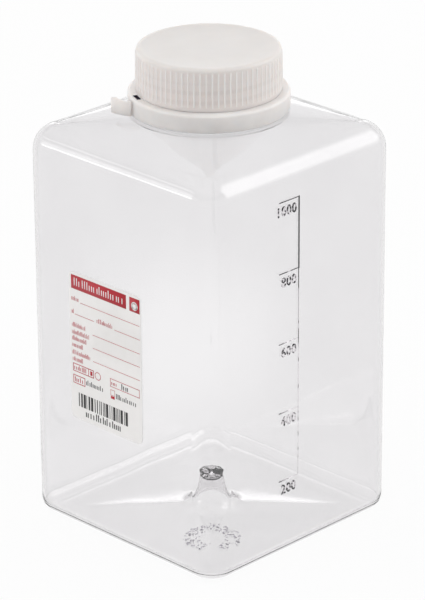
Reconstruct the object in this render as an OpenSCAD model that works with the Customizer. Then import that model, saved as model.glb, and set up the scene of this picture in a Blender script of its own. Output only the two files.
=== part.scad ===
// Square one-litre water sampling bottle: a clear blown body with a moulded volume scale,
// a ribbed screw cap with its sealing disc, a tear-off tamper ring with a pull tab,
// a paper label and a dried dose of preservative on the floor inside.
// Millimetres, +Z up. The origin is the centre of the base, on the plane it stands on.
// The label is on the -Y face and the volume scale on the +X face.

/* [Body] */
// Width across the flat faces
body_w = 90.5; // [86:0.5:110]
// Height at which the lines of the shoulder and the wall would meet
shoulder_z = 141.7; // [120:0.1:180]
// Rise of the shoulder from there to the foot of the neck
shoulder_rise = 7.9; // [5:0.1:14]
// Radius of the upright corners and of the shoulder's edges
corner_r = 9.5; // [7:0.5:12]
// Radius of the bottom edges
foot_r = 5.4; // [3:0.2:6.8]
// Wall thickness of the body
body_wall = 0.8; // [0.6:0.1:1.2]

/* [Base] */
// Width of the square recess under the base
recess_w = 64.4; // [58:0.2:68]
// Rise of the four flat slopes of the recess
recess_rise = 1.5; // [1:0.1:2.5]
// Radius of the central push-up at its foot
dome_r = 13; // [11:0.5:15]
// Radius of the central push-up at its top
dome_top_r = 4; // [3:0.5:6]
// Height of the hollow under the push-up
dome_h = 12; // [7:0.5:14]
// Thickness of plastic over the push-up, where the blank was gated
gate_t = 2.2; // [1:0.1:3]
// Radius of the gate stub on top of the push-up
gate_r = 1.8; // [1:0.1:2.4]
// Height of the gate stub
gate_h = 1.3; // [0.6:0.1:2]

/* [Neck and thread] */
// Radius of the opening
mouth_r = 19.6; // [17:0.1:21]
// Wall thickness of the neck
neck_wall = 1.8; // [1.4:0.1:2.2]
// Height of the collar at the foot of the neck
collar_h = 0.7; // [0.4:0.1:1.5]
// Rise of the thread per turn, on the neck and in the cap
thread_pitch = 3.5; // [3:0.1:4]
// Depth of the thread on the neck
thread_depth = 1.4; // [1.1:0.1:1.6]
// Gap between the thread's crest and the cap's wall
thread_gap = 0.4; // [0.3:0.05:0.5]
// Turns of thread on the neck
neck_turns = 1.75; // [1.25:0.25:1.75]
// Turns of thread in the cap
cap_turns = 1.5; // [1:0.25:1.5]
// How far the tamper bead stands out past the cap's wall
bead_out = 0.75; // [0.6:0.05:1.2]
// Thickness of the tamper bead's edge
bead_t = 1.2; // [0.8:0.1:1.5]

/* [Screw cap] */
// Height of the cap
cap_h = 14.9; // [14.5:0.1:22]
// Wall thickness of the cap's skirt
cap_wall = 1.55; // [1.2:0.05:2]
// Thickness of the cap's top
cap_top_t = 1.6; // [1.2:0.1:2.2]
// How much the skirt's radius shrinks from rim to top
cap_draft = 0.2; // [0:0.05:0.4]
// Radius of the cap's top edge
cap_edge_r = 1.2; // [0.8:0.1:1.5]
// Number of grip ribs
rib_count = 76; // [60:2:90]
// Width of a rib
rib_w = 0.5; // [0.4:0.05:0.7]
// How far a rib stands out
rib_out = 0.25; // [0.15:0.05:0.4]
// Plain band between the rim and the ribs
rib_foot = 1.5; // [1:0.1:3]

/* [Sealing disc] */
// Thickness of the disc
disc_t = 1.1; // [0.8:0.1:1.6]
// Gap round the disc inside the cap
disc_gap = 0.3; // [0.2:0.05:0.4]

/* [Tamper ring] */
// Height of the ring
ring_h = 6.2; // [5.8:0.1:8]
// Wall thickness of the ring
ring_wall = 1.3; // [1:0.1:1.6]
// Gap between the collar and the ring above it
ring_gap = 0.3; // [0.2:0.05:0.5]
// Gap between the tamper bead and the ring round it
ring_play = 0.8; // [0.6:0.05:0.9]
// Thickness of the ledge that closes the ring's top
ledge_t = 1.2; // [0.9:0.1:1.6]
// Radius of the ring's top edge
ring_edge_r = 1; // [0.6:0.1:1.2]
// How far the ring's lip reaches in under the tamper bead
lip_hold = 0.6; // [0.4:0.1:0.8]
// Height of the ring's lip
lip_h = 1.2; // [0.8:0.1:1.5]
// Number of frangible bridges
bridge_count = 12; // [8:1:16]
// Width of a bridge
bridge_w = 0.9; // [0.6:0.1:1.2]
// Height of a bridge, which is the gap between ring and cap
bridge_h = 0.3; // [0.2:0.05:0.5]

/* [Tear slot and pull tab] */
// Angle of the tear slot round the ring
slot_angle = 245.5; // [240:0.5:250]
// Length of the tear slot
slot_l = 4.6; // [3:0.1:6]
// Width of the tear slot
slot_w = 1.5; // [0.8:0.1:1.6]
// Angle of the tab's root round the ring
tab_angle = 247; // [240:0.5:255]
// Heading in which the tab leaves its root
tab_heading = 215; // [210:1:225]
// Radius of the tab's curve
tab_curve_r = 8.5; // [7:0.5:12]
// Angle that the tab curves through
tab_sweep = 48; // [36:1:54]
// Height of the tab
tab_h = 5.2; // [4:0.1:5.4]
// Thickness of the tab
tab_t = 1.1; // [0.9:0.1:1.4]
// Radius of the thick bead at the tab's free end
tab_bead_r = 1; // [0.8:0.1:1.2]

/* [Label] */
// Width of the label
label_w = 35.1; // [30:0.1:40]
// Height of the label
label_h = 54.6; // [45:0.1:60]
// Thickness of the label
label_t = 0.12; // [0.08:0.01:0.2]
// Radius of the label's corners
label_corner_r = 2.3; // [1:0.1:4]
// Where the label's middle lies along the face
label_x = -5.2; // [-8:0.1:8]
// Height of the label's bottom edge
label_z = 43; // [30:0.1:55]

/* [Volume scale] */
// Volume between two marks, in millilitres
mark_ml = 200; // [100:50:200]
// Number of marks
mark_count = 5; // [3:1:5]
// Height of the lowest mark
mark_z = 29; // [26:0.1:32]
// Length of a mark
mark_l = 9; // [6:0.1:12]
// Width of the scale's lines
mark_w = 0.45; // [0.3:0.05:0.7]
// How far the lines stand out
mark_out = 0.3; // [0.15:0.05:0.5]
// Where the scale's upright line lies along the face
mark_y = -3.5; // [-10:0.1:10]

/* [Dose] */
// Radius of the dried dose
dose_r = 10; // [6:0.1:10]
// Thickness of the dried dose
dose_t = 0.15; // [0.1:0.05:0.4]
// Where the dose lies towards the corner between label and scale, in X and -Y
dose_at = 19.6; // [19.5:0.1:21]

/* [Hidden] */
$fn = 96;
eps = 0.01;

half_w = body_w / 2;
corner_at = half_w - corner_r;

// Radii, from the opening outwards
neck_r = mouth_r + neck_wall;
thread_r = neck_r + thread_depth;
cap_in_r = thread_r + thread_gap;
cap_r = cap_in_r + cap_wall;
rib_r = cap_r + rib_out;
bead_r = cap_r + bead_out;
ring_in_r = bead_r + ring_play;
ring_r = ring_in_r + ring_wall;
lip_r = bead_r - lip_hold;
ledge_r = cap_in_r + 0.4;
collar_r = ring_in_r - 0.3;
land_r = collar_r + 1.5;    // flat ring at the top of the shoulder

// Heights, from the neck's foot upwards
neck_z = shoulder_z + shoulder_rise;
ring_z = neck_z + collar_h + ring_gap;
ring_top = ring_z + ring_h;
rim_z = ring_top + bridge_h;
cap_top = rim_z + cap_h;
mouth_z = cap_top - cap_top_t - disc_t;
lip_top = ring_z + lip_h;
bead_z = lip_top + 0.9;

// Slope of the shoulder, and the centre height of its rounded edge, which touches slope and wall
slope = atan2(shoulder_rise, half_w - land_r);
ball_z = shoulder_z - corner_r * tan((90 - slope) / 2);

// The same along the body's diagonal, where the reach clears the upright corners by a hair
corner_reach = corner_at * sqrt(2) + corner_r + 0.05;
corner_run = [corner_reach - corner_r - land_r, neck_z - ball_z];
corner_slope = atan2(corner_run.y, corner_run.x) - asin(corner_r / norm(corner_run));

// Thread ridges: width at the wall and at the crest, and how deep they root in it
thread_root_w = 0.45 * thread_pitch;
thread_crest_w = 0.2 * thread_pitch;
thread_sink = 0.4;
thread_step = 45;           // angle from one ridge to the next
thread_arc = 39;            // angle of one ridge
thread_start = 171;         // angle at which both threads begin
neck_thread_z = rim_z + thread_root_w + 1.6;
cap_thread_z = neck_thread_z - thread_pitch / 2;
cap_thread_r = neck_r + 0.5;

// Inner area of the body, and the height of one mark's volume in it
inner_area = pow(body_w - 2 * body_wall, 2) - (4 - PI) * pow(corner_r - body_wall, 2);
mark_step = mark_ml * 1000 / inner_area;

// Tab: the axis of its living hinge, and the centre of its curve
tab_root_r = tab_t / 2;
tab_axis_r = ring_r + tab_root_r + 0.05;
tab_axis = tab_axis_r * [cos(tab_angle), sin(tab_angle)];
tab_centre = tab_axis + tab_curve_r * [cos(tab_heading - 90), sin(tab_heading - 90)];
tab_z = ring_z + 0.3;

module rounded_rect(w, h, r) {
    square([w - 2 * r, h], center = true);
    square([w, h - 2 * r], center = true);
    for (x = [-1, 1], y = [-1, 1])
        translate([x * (w / 2 - r), y * (h / 2 - r)]) circle(r);
}

// Half of the body's outline, from start out to reach, drawn in by inset on every side
module half_outline(start, reach, slope, inset) {
    r = corner_r - inset;
    land = land_r - inset * (1 / cos(slope) - 1) / tan(slope);
    polygon([[start, inset], [reach - foot_r, inset], [reach - inset, foot_r], [reach - inset, ball_z],
             [reach - corner_r + r * sin(slope), ball_z + r * cos(slope)],
             [land, neck_z - inset], [start, neck_z - inset]]);
    translate([reach - foot_r, foot_r]) circle(foot_r - inset);
    translate([reach - corner_r, ball_z]) circle(r);
}

// The closed body: a rounded square, its side outlines both ways, and a turned form that rounds its corners
module body_form(inset) {
    intersection() {
        linear_extrude(neck_z + 1) rounded_rect(body_w - 2 * inset, body_w - 2 * inset, corner_r - inset);
        intersection_for (turn = [0, 90]) rotate([90, 0, turn]) linear_extrude(body_w + 2, center = true)
            for (side = [0, 1]) mirror([side, 0]) half_outline(-1, half_w, slope, inset);
        rotate_extrude() half_outline(0, corner_reach, corner_slope, inset);
    }
}

// A low four-sided roof of width w and the given rise, flat underneath
module roof(w, rise) {
    outline = [[-w / 2, -1], [w / 2, -1], [w / 2, 0], [0, rise], [-w / 2, 0]];
    intersection() {
        rotate([90, 0, 0]) linear_extrude(w, center = true) polygon(outline);
        rotate([90, 0, 90]) linear_extrude(w, center = true) polygon(outline);
    }
}

// Hollow under the base
module recess() {
    roof(recess_w, recess_rise);
    cylinder(r1 = dome_r, r2 = dome_top_r, h = dome_h);
}

// The same form on the inside of the floor, one wall higher
module floor_form() {
    translate([0, 0, body_wall]) roof(recess_w, recess_rise);
    cylinder(r1 = dome_r + 2 * body_wall, r2 = dome_top_r + body_wall, h = dome_h + gate_t);
    cylinder(r = gate_r, h = dome_h + gate_t + gate_h);
}

// Short ridges along a right-hand helix, from radius root to radius crest, with vent gaps between them
module thread(root, crest, z, turns) {
    lead = atan(thread_pitch / (2 * PI * crest));
    profile = [[root, -thread_root_w / 2], [crest, -thread_crest_w / 2],
               [crest, thread_crest_w / 2], [root, thread_root_w / 2]];
    for (k = [0:turns * 360 / thread_step - 1])
        translate([0, 0, z + thread_pitch * (k + 0.5) * thread_step / 360])
            rotate(thread_start + (k + 0.5) * thread_step) rotate([lead, 0, 0])
                rotate(-thread_arc / 2) rotate_extrude(angle = thread_arc) polygon(profile);
}

module neck() {
    translate([0, 0, neck_z - body_wall]) cylinder(r = neck_r, h = mouth_z - neck_z + body_wall);
    translate([0, 0, neck_z - body_wall]) cylinder(r = collar_r, h = collar_h + body_wall);
    rotate_extrude() polygon([[mouth_r + 0.5, bead_z], [bead_r, bead_z], [bead_r, bead_z + bead_t],
                              [neck_r, bead_z + bead_t + 0.8], [mouth_r + 0.5, bead_z + bead_t + 0.8]]);
    thread(neck_r - thread_sink, thread_r, neck_thread_z, neck_turns);
}

module scale_lines() {
    x = half_w - body_wall / 2;
    depth = body_wall / 2 + mark_out;
    span = (mark_count - 1) * mark_step;
    translate([x, mark_y, mark_z]) {
        translate([0, -mark_w / 2, -mark_w / 2]) cube([depth, mark_w, span + mark_w]);
        for (k = [0:mark_count - 1])
            translate([0, -mark_l, k * mark_step - mark_w / 2]) cube([depth, mark_l, mark_w]);
    }
}

module bottle() {
    color([0.86, 0.87, 0.89, 0.35]) difference() {
        union() {
            body_form(0);
            neck();
            scale_lines();
        }
        difference() {
            body_form(body_wall);
            floor_form();
        }
        translate([0, 0, neck_z - body_wall - 2]) cylinder(r = mouth_r, h = mouth_z - neck_z + body_wall + 3);
        recess();
    }
}

module label() {
    color([0.93, 0.91, 0.9])
        translate([label_x, -half_w, label_z + label_h / 2]) rotate([90, 0, 0])
            linear_extrude(label_t) rounded_rect(label_w, label_h, label_corner_r);
}

module thiosulfate_dose() {
    color([0.95, 0.95, 0.96, 0.6]) intersection() {
        translate([dose_at, -dose_at, 0]) cylinder(r = dose_r, h = 10);
        difference() {
            translate([0, 0, body_wall + dose_t]) roof(recess_w, recess_rise);
            translate([0, 0, body_wall]) roof(recess_w, recess_rise);
        }
    }
}

module sealing_disc() {
    color([0.94, 0.94, 0.92])
        translate([0, 0, mouth_z]) cylinder(r = cap_in_r - disc_gap, h = disc_t);
}

module screw_cap() {
    top_r = cap_r - cap_draft;
    rib_top = cap_h - cap_edge_r - 0.3;
    color([0.89, 0.88, 0.86]) translate([0, 0, rim_z]) {
        difference() {
            union() {
                rotate_extrude() {
                    polygon([[0, 0], [cap_r, 0], [top_r, cap_h - cap_edge_r],
                             [top_r - cap_edge_r, cap_h - cap_edge_r], [top_r - cap_edge_r, cap_h], [0, cap_h]]);
                    intersection() {
                        translate([top_r - cap_edge_r, cap_h - cap_edge_r]) circle(cap_edge_r);
                        translate([top_r - cap_edge_r - eps, cap_h - cap_edge_r - eps]) square(cap_edge_r + 1);
                    }
                }
                for (k = [0:rib_count - 1]) rotate(k * 360 / rib_count)
                    translate([cap_r - cap_wall / 2, -rib_w / 2, rib_foot])
                        rotate([0, -atan(cap_draft / cap_h), 0])
                            cube([cap_wall / 2 + rib_out, rib_w, rib_top - rib_foot]);
            }
            translate([0, 0, -1]) cylinder(r = cap_in_r, h = cap_h - cap_top_t + 1);
        }
        translate([0, 0, -rim_z]) thread(cap_in_r + thread_sink, cap_thread_r, cap_thread_z, cap_turns);
    }
}

module tamper_ring() {
    inner_top = ring_h - ledge_t;
    color([0.87, 0.86, 0.84]) translate([0, 0, ring_z]) difference() {
        rotate_extrude() difference() {
            union() {
                polygon([[lip_r, 0], [ring_r, 0], [ring_r, ring_h - ring_edge_r],
                         [ring_r - ring_edge_r, ring_h - ring_edge_r], [ring_r - ring_edge_r, ring_h],
                         [ledge_r, ring_h], [ledge_r, inner_top], [lip_r, inner_top]]);
                intersection() {
                    translate([ring_r - ring_edge_r, ring_h - ring_edge_r]) circle(ring_edge_r);
                    translate([ring_r - ring_edge_r - eps, ring_h - ring_edge_r - eps]) square(ring_edge_r + 1);
                }
            }
            translate([lip_r - 1, lip_h]) square([ring_in_r - lip_r + 1, inner_top - lip_h]);
        }
        rotate(slot_angle) translate([rib_r, -slot_l / 2, inner_top - 1])
            cube([slot_w, slot_l, ledge_t + 2]);
    }
}

// Small posts that join the ring to the cap's rim until it is first opened
module bridges() {
    color([0.87, 0.86, 0.84])
        for (k = [0:bridge_count - 1]) rotate((k + 0.5) * 360 / bridge_count)
            translate([ledge_r, -bridge_w / 2, ring_top])
                cube([cap_r - ledge_r - 0.2, bridge_w, bridge_h]);
}

module pull_tab() {
    color([0.87, 0.86, 0.84]) translate([0, 0, tab_z]) {
        translate(tab_axis) cylinder(r = tab_root_r, h = tab_h);
        translate(tab_centre) rotate(tab_heading + 90 - tab_sweep) {
            rotate_extrude(angle = tab_sweep) translate([tab_curve_r - tab_t / 2, 0]) square([tab_t, tab_h]);
            translate([tab_curve_r, 0]) cylinder(r = tab_bead_r, h = tab_h);
        }
    }
}

bottle();
label();
thiosulfate_dose();
sealing_disc();
screw_cap();
tamper_ring();
bridges();
pull_tab();
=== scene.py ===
"""Looks of a square one-litre sampling bottle of clear blown plastic.

The clear body, its moulded scale and digits, the ribbed screw cap, the tamper ring with its pull tab,
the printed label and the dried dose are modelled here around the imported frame. Metres, +Z up.
"""
import math
import random

import bmesh
import bpy
from mathutils import Matrix, Vector, noise


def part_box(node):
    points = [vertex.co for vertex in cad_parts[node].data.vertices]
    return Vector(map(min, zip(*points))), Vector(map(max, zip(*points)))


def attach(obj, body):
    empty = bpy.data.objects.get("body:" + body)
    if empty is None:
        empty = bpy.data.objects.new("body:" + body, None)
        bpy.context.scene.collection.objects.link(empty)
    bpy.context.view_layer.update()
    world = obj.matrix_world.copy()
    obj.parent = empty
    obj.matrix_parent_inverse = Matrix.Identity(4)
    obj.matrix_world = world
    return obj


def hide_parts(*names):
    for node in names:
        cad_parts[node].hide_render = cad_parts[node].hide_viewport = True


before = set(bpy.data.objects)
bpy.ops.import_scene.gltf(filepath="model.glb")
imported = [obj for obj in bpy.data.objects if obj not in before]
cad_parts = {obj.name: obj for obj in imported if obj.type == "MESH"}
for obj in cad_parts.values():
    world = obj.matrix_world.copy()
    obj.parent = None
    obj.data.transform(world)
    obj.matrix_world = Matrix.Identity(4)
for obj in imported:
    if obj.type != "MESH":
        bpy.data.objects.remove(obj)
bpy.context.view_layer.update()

MM = 0.001
SAME_POINT = 1e-7
QUARTER_TURN = math.pi / 2
FULL_TURN = math.pi * 2

# ---------------- sizes, from the frame where it states them
body_lo, body_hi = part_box("bottle")
cap_lo, cap_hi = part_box("screw_cap")
ring_lo, ring_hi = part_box("tamper_ring")
disc_lo, disc_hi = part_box("sealing_disc")
label_lo, label_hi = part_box("label")
tab_lo, tab_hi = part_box("pull_tab")
dose_lo, dose_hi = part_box("thiosulfate_dose")

half_w = -body_lo.x
mouth_z = body_hi.z
wall_t = 0.8 * MM
corner_r = 9.5 * MM
foot_r = 5.4 * MM
heel_in_r = 5.0 * MM
core = half_w - corner_r            # half width of the square that the corners turn round
ball_z = 135.5 * MM                 # height at which the shoulder's rounded edge begins
neck_z = 149.6 * MM                 # flat land at the top of the shoulder
land_r = 27.5 * MM

recess_half = 32.2 * MM
recess_corner = 3.0 * MM
recess_rise = 1.5 * MM
recess_sag = 0.7                    # share of its height that the recess loses between its ribs
recess_rib_reach = 17.0 * MM
recess_flat = 0.5 * MM              # level land round the recess
dome_r = 13.0 * MM
dome_top_r = 4.0 * MM
dome_h = 12.0 * MM
dome_flare = 3.4                    # how steeply the push-up's flank rises from its flared foot
gate_t = 2.2 * MM
gate_h = 1.3 * MM
gate_r = 5.3 * MM
gate_depth = 0.65                   # the gate mark's size along the diagonal, as a share of its width
gate_back = 0.8 * MM
mould_line = 0.09 * MM
mould_line_at = 64                  # degrees up the heel
floor_ripple = (7 * MM, 0.07 * MM, 3)     # wavelength, height and seed of the plastic's waviness
wall_ripple = (16 * MM, 0.06 * MM, 9)

mouth_r = 19.6 * MM
neck_r = 21.4 * MM
collar_r = 24.3 * MM
collar_h = 0.7 * MM
bead_r = 25.5 * MM
bead_z = 152.7 * MM
bead_t = 1.2 * MM
thread_pitch = 3.5 * MM
thread_depth = 1.4 * MM
thread_root_w = 1.575 * MM
thread_crest_w = 0.7 * MM
thread_start = math.radians(171)
neck_thread_z = 160.275 * MM
neck_turns = 1.75
cap_thread_z = neck_thread_z - thread_pitch / 2
cap_turns = 1.5

cap_in_r = 23.2 * MM
cap_r = 24.75 * MM
cap_draft = 0.2 * MM
cap_top_t = 1.6 * MM
cap_edge_r = 1.2 * MM
cap_thread_depth = cap_in_r - 21.9 * MM
rib_count = 76
rib_steps = 8                       # columns of faces from one rib to the next
rib_out = 0.25 * MM
rib_foot = 1.5 * MM

ring_r = ring_hi.x
ring_in_r = 26.3 * MM
ring_lip_r = 24.9 * MM
ring_ledge_r = 23.6 * MM
ring_lip_h = 1.2 * MM
ring_ledge_t = 1.2 * MM
seam_overlap = 0.15 * MM            # cap and ring each reach this far into the gap between them
slot_angle = math.radians(245.5)

tab_axis = Vector((-11.019 * MM, -25.958 * MM, 0))
tab_heading = math.radians(215)
tab_curve_r = 8.5 * MM
tab_sweep = math.radians(48)
tab_t = 1.1 * MM
tab_swell = 0.95                    # how much thicker the tab grows towards its end
swell_from, swell_to = 0.55, 0.9    # shares of the tab's length between which it grows
tip_from = 0.93                     # share from which its end is rounded off

mark_z = 29.0 * MM
mark_step = 25.52 * MM
mark_count = 5
mark_ml = 200
mark_y = -3.5 * MM
mark_l = 9.0 * MM
mark_w = 0.45 * MM
mark_out = 0.3 * MM

scene = bpy.context.scene
scene.view_settings.view_transform = "Standard"


# ---------------- camera
def camera():
    """Looks at the corner between label and scale, from above."""
    azimuth, elevation, roll = (math.radians(a) for a in (45.0192, 23.0524, -0.3851))
    distance = 1.2116
    focal_px, long_side_px, sensor = 3501.3445, 600, 36.0
    back = Vector((math.sin(azimuth) * math.cos(elevation),
                   -math.cos(azimuth) * math.cos(elevation), math.sin(elevation)))
    right = Vector((math.cos(azimuth), math.sin(azimuth), 0))
    target = right * 0.70 * MM + Vector((0, 0, 79.17 * MM))
    data = bpy.data.cameras.new("camera")
    data.sensor_fit = "AUTO"
    data.sensor_width = sensor
    data.lens = focal_px / long_side_px * sensor
    data.clip_start = 0.05
    seen = bpy.data.objects.new("camera", data)
    up = back.cross(right)
    turned = Matrix((right, up, back)).transposed() @ Matrix.Rotation(roll, 3, "Z")
    seen.matrix_world = Matrix.Translation(target + back * distance) @ turned.to_4x4()
    scene.collection.objects.link(seen)
    scene.camera = seen


# ---------------- mesh helpers
def mesh_object(name, built):
    """Turns a finished bmesh into an object of the scene."""
    mesh = bpy.data.meshes.new(name)
    built.to_mesh(mesh)
    built.free()
    made = bpy.data.objects.new(name, mesh)
    scene.collection.objects.link(made)
    return made


def evaluated_mesh(source):
    """Mesh of an object with its modifiers applied, or of a text."""
    bpy.context.view_layer.update()
    return bpy.data.meshes.new_from_object(source.evaluated_get(bpy.context.evaluated_depsgraph_get()))


def block(built, size, centre):
    """Adds a box to a bmesh and returns its points."""
    made = bmesh.ops.create_cube(built, size=1)["verts"]
    bmesh.ops.scale(built, vec=size, verts=made)
    bmesh.ops.translate(built, vec=centre, verts=made)
    return made


def piece(name, built, body, material, sharp_angle=None, replaced=None):
    """Turns a finished bmesh into a named object that rides on a body of the frame."""
    made = mesh_object(name, built)
    for face in made.data.polygons:
        face.use_smooth = True
    if sharp_angle is not None:
        made.data.set_sharp_from_angle(angle=math.radians(sharp_angle))
    made.data.materials.append(material)
    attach(made, body)
    if replaced:
        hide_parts(replaced)
    return made


def cut_away(target, cutter_builder, shade):
    """Cuts a shape out of a finished piece and gives the cut walls the given material, here the slot's painted
    shade.
    """
    cutter = mesh_object("cutter", cutter_builder)
    cutter.data.materials.append(shade)
    cut = target.modifiers.new("cut", "BOOLEAN")
    cut.operation = "DIFFERENCE"
    cut.solver = "EXACT"
    cut.material_mode = "TRANSFER"
    cut.object = cutter
    shaped = evaluated_mesh(target)
    target.modifiers.clear()
    target.data = shaped
    bpy.data.objects.remove(cutter)


def merged(built):
    """Joins points that lie together and turns all faces outwards."""
    bmesh.ops.remove_doubles(built, verts=built.verts, dist=SAME_POINT)
    bmesh.ops.recalc_face_normals(built, faces=built.faces)
    return built


def turned(profile, steps):
    """Spins a closed or open outline of (radius, height) points round the Z axis."""
    built = bmesh.new()
    points = [built.verts.new((r, 0, z)) for r, z in profile]
    edges = [built.edges.new(pair) for pair in zip(points, points[1:])]
    bmesh.ops.spin(built, geom=points + edges, cent=(0, 0, 0), axis=(0, 0, 1), dvec=(0, 0, 0),
                   angle=FULL_TURN, steps=steps, use_merge=True, use_duplicate=False)
    return merged(built)


def arc(centre, radius, start, end, steps):
    """Points of an arc in an outline, with angles in degrees from the outward direction."""
    angles = (math.radians(start + (end - start) * k / steps) for k in range(steps + 1))
    return [(centre[0] + radius * math.cos(a), centre[1] + radius * math.sin(a)) for a in angles]


def clamped(value):
    """The value, held between 0 and 1."""
    return min(1.0, max(0.0, value))


def spread(start, end, count):
    """Evenly spaced values after start, up to and including end."""
    return [start + (end - start) * (k + 1) / count for k in range(count)]


# ---------------- rings of the blown body
FLAT_STEPS = 14                     # from the middle of a side to the start of its corner
ARC_STEPS = 20
QUARTER = 2 * FLAT_STEPS + ARC_STEPS
RING = 4 * QUARTER


def along_flat(step):
    """How far along a flat side a point lies, with closer points near the corner."""
    share = step / FLAT_STEPS
    return 0.55 * share + 0.45 * math.sin(QUARTER_TURN * share)


def corner_frame(index):
    """Place on the core square and outward direction of one point of a rounded square ring."""
    turn, step = divmod(index, QUARTER)
    if step <= FLAT_STEPS:
        place, angle = Vector((1, along_flat(step))), 0.0
    elif step < FLAT_STEPS + ARC_STEPS:
        place, angle = Vector((1, 1)), QUARTER_TURN * (step - FLAT_STEPS) / ARC_STEPS
    else:
        place, angle = Vector((along_flat(QUARTER - step), 1)), QUARTER_TURN
    spin = Matrix.Rotation(turn * QUARTER_TURN, 2)
    return spin @ place, spin @ Vector((math.cos(angle), math.sin(angle)))


CORNERS = [corner_frame(i) for i in range(RING)]


def square_ring(half, corner, z):
    """Rounded square of the given half width and corner radius."""
    def place(index):
        at, out = CORNERS[index]
        flat = at * (half - corner) + out * corner
        return Vector((flat.x, flat.y, z))
    return place


def round_ring(radius, z):
    """Circle of the given radius."""
    def place(index):
        angle = FULL_TURN * index / RING
        return Vector((radius * math.cos(angle), radius * math.sin(angle), z))
    return place


def gem_ring(radius, z, depth=1.0, back=0.0):
    """Eight-sided ring, as the cooled gate of a blown bottle has, squeezed and set back along a diagonal."""
    def place(index):
        angle = FULL_TURN * index / RING
        sector = FULL_TURN / 8
        within = (angle % sector) - sector / 2
        reach = radius * math.cos(sector / 2) / math.cos(within)
        forward = depth * reach * math.cos(angle + QUARTER_TURN / 2) - back
        sideways = reach * math.sin(angle + QUARTER_TURN / 2)
        return Vector(((forward + sideways) * math.sqrt(0.5), (sideways - forward) * math.sqrt(0.5), z))
    return place


def mixed_ring(first, second, share):
    """Ring on the way from one ring to another."""
    def place(index):
        return first(index).lerp(second(index), share)
    return place


def shoulder_ring(inset, share):
    """Rounded edge between wall and shoulder, from the wall at 0 to the slope at 1."""
    radius = corner_r - inset
    top = round_ring(land_r, neck_z - inset)

    def place(index):
        at, out = CORNERS[index]
        centre = at * core
        land = top(index)
        run = (Vector((land.x, land.y)) - centre).length
        rise = land.z - ball_z
        slope = math.atan2(rise, run) - math.asin(radius / math.hypot(run, rise))
        angle = share * (QUARTER_TURN - slope)
        flat = centre + out * radius * math.cos(angle)
        return Vector((flat.x, flat.y, ball_z + radius * math.sin(angle)))
    return place


def threaded_ring(radius, z):
    """Neck wall with the ridge of its thread, which has vent gaps every eighth of a turn."""
    def place(index):
        angle = FULL_TURN * index / RING
        lift = thread_lift(angle, z, neck_thread_z, neck_turns) * thread_depth
        if index % (RING // 8) < 2:
            lift = 0
        return round_ring(radius + lift, z)(index)
    return place


def thread_lift(angle, z, start_z, turns):
    """How much of its depth a thread has at an angle and a height, from 0 to 1."""
    best = 0.0
    for lap in range(-1, int(turns) + 2):
        turn = (angle - thread_start) / FULL_TURN + lap
        if not 0 <= turn <= turns:
            continue
        away = abs(z - start_z - thread_pitch * turn)
        flank = (thread_root_w - thread_crest_w) / 2
        height = clamped((thread_root_w / 2 - away) / flank)
        fade = min(1.0, turn / 0.06, (turns - turn) / 0.06)
        best = max(best, height * fade)
    return best


def floor_rise(x, y):
    """Height of the recess over its edge: four low slopes with soft ribs along the diagonals."""
    far, near = max(abs(x), abs(y)), min(abs(x), abs(y))
    if far >= recess_half:
        return 0.0
    level = 1 - far / recess_half
    reach = max(recess_rib_reach * level, 3 * MM)
    crest = max(reach / 6, 0.9 * MM)
    soft = math.hypot((far - near) / math.sqrt(2), crest) - crest
    return recess_rise * level * (1 - recess_sag * (1 - math.exp(-soft / reach)))


def on_floor(ring, inset):
    """Lays a ring of any shape on the recess floor."""
    def place(index):
        at = ring(index)
        return Vector((at.x, at.y, floor_rise(at.x, at.y) + inset))
    return place


def bell_ring(radius, inset):
    """Ring on the push-up's flank, which flares out softly at its foot like a trumpet."""
    r_low, r_high = dome_r + inset / 4, dome_top_r + inset
    share = clamped((r_low - radius) / (r_low - r_high))

    def place(index):
        at = on_floor(round_ring(radius, 0), inset)(index)
        at.z += (dome_h + inset - at.z) * share ** dome_flare
        return at
    return place


def floor_levels(inset):
    """Rings of the floor, from the edge of the push-up's top to the foot of the wall."""
    levels = [bell_ring(radius, inset) for radius in spread(dome_top_r + inset, dome_r + inset / 4, 18)]
    inner = round_ring(dome_r + inset / 4, 0)
    outer = square_ring(recess_half, recess_corner, 0)
    levels += [on_floor(mixed_ring(inner, outer, share), inset) for share in spread(0, 1, 12)]
    levels.append(square_ring(recess_half + recess_flat, recess_corner + recess_flat, inset))
    radius = heel_in_r if inset else foot_r
    flat_half = half_w - inset - radius
    heel = [(half, inset) for half in spread(recess_half + recess_flat, flat_half - 0.3 * MM, 4)]
    for degrees in (0, 7, 14, 21, 28, 35, 42, 49, 55, 60, 62, 64, 66, 68, 70, 75, 80, 85, 90):
        proud = mould_line if degrees == mould_line_at and not inset else 0
        out, up = math.sin(math.radians(degrees)), 1 - math.cos(math.radians(degrees))
        heel.append((flat_half + radius * out + proud, inset + radius * up))
    return levels + [square_ring(half, max(half - core, recess_corner + 0.9 * MM), z) for half, z in heel]


def wall_levels(inset):
    """Rings of the wall and the shoulder, from above the foot to the land at the neck."""
    half = half_w - inset
    lowest = inset + (heel_in_r if inset else foot_r) + 0.8 * MM
    heights = [lowest] + spread(lowest, ball_z - 0.8 * MM, 26)
    levels = [square_ring(half, corner_r - inset, z) for z in heights]
    levels += [shoulder_ring(inset, share) for share in [0] + spread(0, 1, 12)]
    rim = shoulder_ring(inset, 1)
    land = round_ring(land_r, neck_z - inset)
    levels += [mixed_ring(rim, land, share) for share in (0.03, *spread(0.03, 0.97, 10), 1)]
    return levels


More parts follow.
